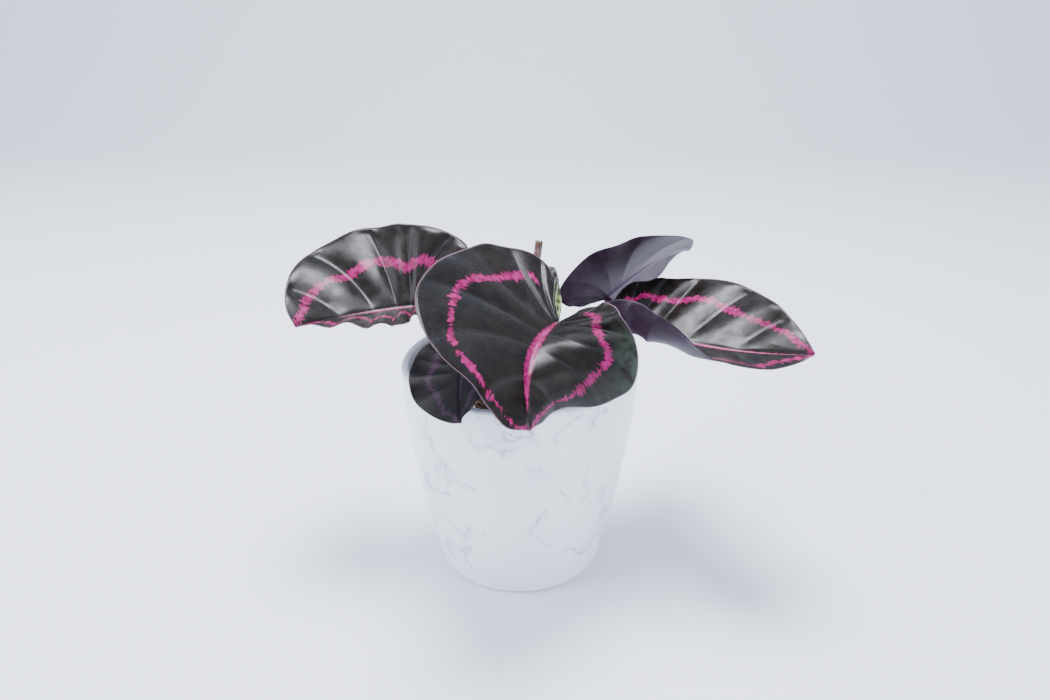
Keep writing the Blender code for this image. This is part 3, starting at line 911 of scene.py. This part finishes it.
class CALATHEA_OT_potting_mix(bpy.types.Operator):
    """Makes the potting mix with its crumbs and perlite grains"""

    bl_idname = "calathea.potting_mix"
    bl_label = "Potting mix"

    def execute(self, context):
        colours, sizes = context.scene.calathea_colours, context.scene.calathea_sizes
        generator = np.random.default_rng(7)
        edge, low = MIX_HIGH.x, MIX_LOW.z
        inner = POCKET_RADIUS
        radii = np.linspace(edge, inner, 60)
        floor = mix_height(inner) - POCKET_DEPTH
        foot = NURSERY_FOOT_RADIUS + 0.5 * MM - NURSERY_WALL
        surface = [(radius, mix_height(radius)) for radius in radii]
        profile = [(0, low), (foot, low), *surface, (inner, floor), (0, floor)]
        points, faces = turned_mesh(profile, 240)
        for point in points:
            if point[2] > 94 * MM and np.hypot(point[0], point[1]) > inner + 0.1 * MM:
                bumps = noise.fractal(Vector(point) * 160, 0.6, 2.1, 5)
                point[2] += (0.9 * bumps - 0.4) * MM
        peat = damp_peat_mix(colours)
        piece("peat_surface", points, faces, [peat], None, ["potting_mix"])

        triangles = np.array(blob_faces())
        kinds = (
            ("peat_crumbs", sizes.crumbs, (0.5, 1.7), peat),
            ("perlite_grains", sizes.perlite, (0.7, 1.5), expanded_perlite(colours)),
        )
        for name, count, spread, finish in kinds:
            lumps = []
            for _ in range(count):
                radius = (generator.uniform((inner + 2 * MM) ** 2, (edge - 2.5 * MM) ** 2)) ** 0.5
                turn = generator.uniform(0, 2 * pi)
                size = generator.uniform(*spread) * MM
                centre = (radius * cos(turn), radius * sin(turn), mix_height(radius) + 0.15 * size)
                lumps.append(blob(np.array(centre), size, generator))
            offsets = np.arange(count)[:, None, None] * 12
            faces = (triangles[None] + offsets).reshape(-1, 3).tolist()
            piece(name, np.concatenate(lumps), faces, [finish], None, ())
        return {"FINISHED"}


class CALATHEA_OT_crown(bpy.types.Operator):
    """Makes the fibrous crown that the stalks grow from"""

    bl_idname = "calathea.crown"
    bl_label = "Crown"

    def execute(self, context):
        radius, low, high = CROWN_HIGH.x, CROWN_LOW.z, CROWN_HIGH.z
        shoulder = high - 3 * MM
        heights = np.linspace(low + 1 * MM, shoulder, 30)
        dome = [(radius * (0.55 + 0.45 * cos(turn)), shoulder + 3 * MM * sin(turn))
                for turn in np.linspace(0, pi / 2, 10)[1:]]
        across = [(radius * share, high) for share in np.linspace(0.5, 0.1, 8)]
        profile = [(0, low), (radius * 0.8, low), *[(radius, z) for z in heights], *dome, *across, (0, high)]
        points, faces = turned_mesh(profile, 120)
        for point in points:
            distance = np.hypot(point[0], point[1])
            if point[2] > shoulder - 5 * MM and distance > 1 * MM:
                turn = np.arctan2(point[1], point[0])
                fibre = noise.noise(Vector((cos(turn) * 9, sin(turn) * 9, point[2] * 90)))
                shrink = 1 - 0.06 * (1 + fibre)
                point[:2] *= shrink
                point[2] -= 0.9 * MM * (0.5 + noise.noise(Vector(point) * 400)) * (distance > 3 * MM)
        finish = fibrous_rootstock(context.scene.calathea_colours)
        piece("fibrous_crown", points, faces, [finish], None, ["crown"])
        return {"FINISHED"}


class CALATHEA_OT_stalks(bpy.types.Operator):
    """Makes the leaf stalks and the old cut stalk"""

    bl_idname = "calathea.stalks"
    bl_label = "Stalks"

    def execute(self, context):
        colours = context.scene.calathea_colours
        finish = living_stalk(colours)
        generator = np.random.default_rng(19)
        sides = STALK_SIDES
        for name, leaf in LEAVES.items():
            path = stem_path(leaf, 70)
            t = np.linspace(0, 1, 70)
            radii = 0.85 + 0.55 * (1 - t) ** 3 + 0.24 * np.exp(-(((t - 0.88) / 0.07) ** 2))
            radii = leaf.stem_radius * MM * radii
            around = ribbed(radii, sides, 5, 0.04, generator)
            stem_name = name.replace("leaf", "stem")
            points, faces = tube_mesh(path, around, sides)
            piece(stem_name + "_stalk", points, faces, [finish], None, [stem_name])

        start = np.array([0, 0, CROWN_HIGH.z + GAP])
        t = np.linspace(0, 1, 90)
        lean = CUT_STEM_TOP - np.array([3, 2, 26]) * MM
        path = bezier(start, start + (0, 0, 30 * MM), lean, CUT_STEM_TOP, t)
        radii = CUT_STEM_RADIUS * (1 + 0.25 * (1 - t) ** 2)
        around = ribbed(radii, sides, 7, 0.06, generator)
        points, faces = tube_mesh(path, around, sides)
        ragged = generator.uniform(0, 2.2, sides) * MM
        points[-sides - 2 : -2, 2] -= ragged
        points[-1, 2] -= 1.6 * MM
        along = np.append(np.repeat(t, sides), (0, 1))
        piece(
            "dried_cut_stalk", points, faces, [dried_cut_stalk(colours)], None, ["cut_stem"],
            {"along": along},
        )
        return {"FINISHED"}


class CALATHEA_OT_blades(bpy.types.Operator):
    """Makes the six painted blades"""

    bl_idname = "calathea.blades"
    bl_label = "Blades"

    def execute(self, context):
        colours, sizes = context.scene.calathea_colours, context.scene.calathea_sizes
        finishes = [painted_blade_top(colours), purple_blade_underside(colours)]
        for name, leaf in LEAVES.items():
            points, faces, under, values = blade_mesh(leaf, PAINTS[name], sizes)
            piece(name + "_blade", points, faces, finishes, under, [name], values)
        return {"FINISHED"}


class CALATHEA_PT_panel(bpy.types.Panel):
    """Lists the settings and the operators"""

    bl_idname = "CALATHEA_PT_panel"
    bl_label = "Potted Calathea"
    bl_space_type = "VIEW_3D"
    bl_region_type = "UI"
    bl_category = "Calathea"

    def draw(self, context):
        for settings in (context.scene.calathea_sizes, context.scene.calathea_colours):
            for key in settings.__annotations__:
                self.layout.prop(settings, key)
        for operator in OPERATORS:
            self.layout.operator(operator.bl_idname)


OPERATORS = (
    CALATHEA_OT_stage,
    CALATHEA_OT_cover_pot,
    CALATHEA_OT_nursery_pot,
    CALATHEA_OT_potting_mix,
    CALATHEA_OT_crown,
    CALATHEA_OT_stalks,
    CALATHEA_OT_blades,
)
CLASSES = (CalatheaSizes, CalatheaColours, *OPERATORS, CALATHEA_PT_panel)


def register():
    for made in CLASSES:
        bpy.utils.register_class(made)
    bpy.types.Scene.calathea_sizes = bpy.props.PointerProperty(type=CalatheaSizes)
    bpy.types.Scene.calathea_colours = bpy.props.PointerProperty(type=CalatheaColours)


def unregister():
    del bpy.types.Scene.calathea_colours
    del bpy.types.Scene.calathea_sizes
    for made in reversed(CLASSES):
        bpy.utils.unregister_class(made)


def main():
    register()
    bpy.ops.calathea.stage()
    bpy.ops.calathea.cover_pot()
    bpy.ops.calathea.nursery_pot()
    bpy.ops.calathea.potting_mix()
    bpy.ops.calathea.crown()
    bpy.ops.calathea.stalks()
    bpy.ops.calathea.blades()


if __name__ == "__main__":
    main()
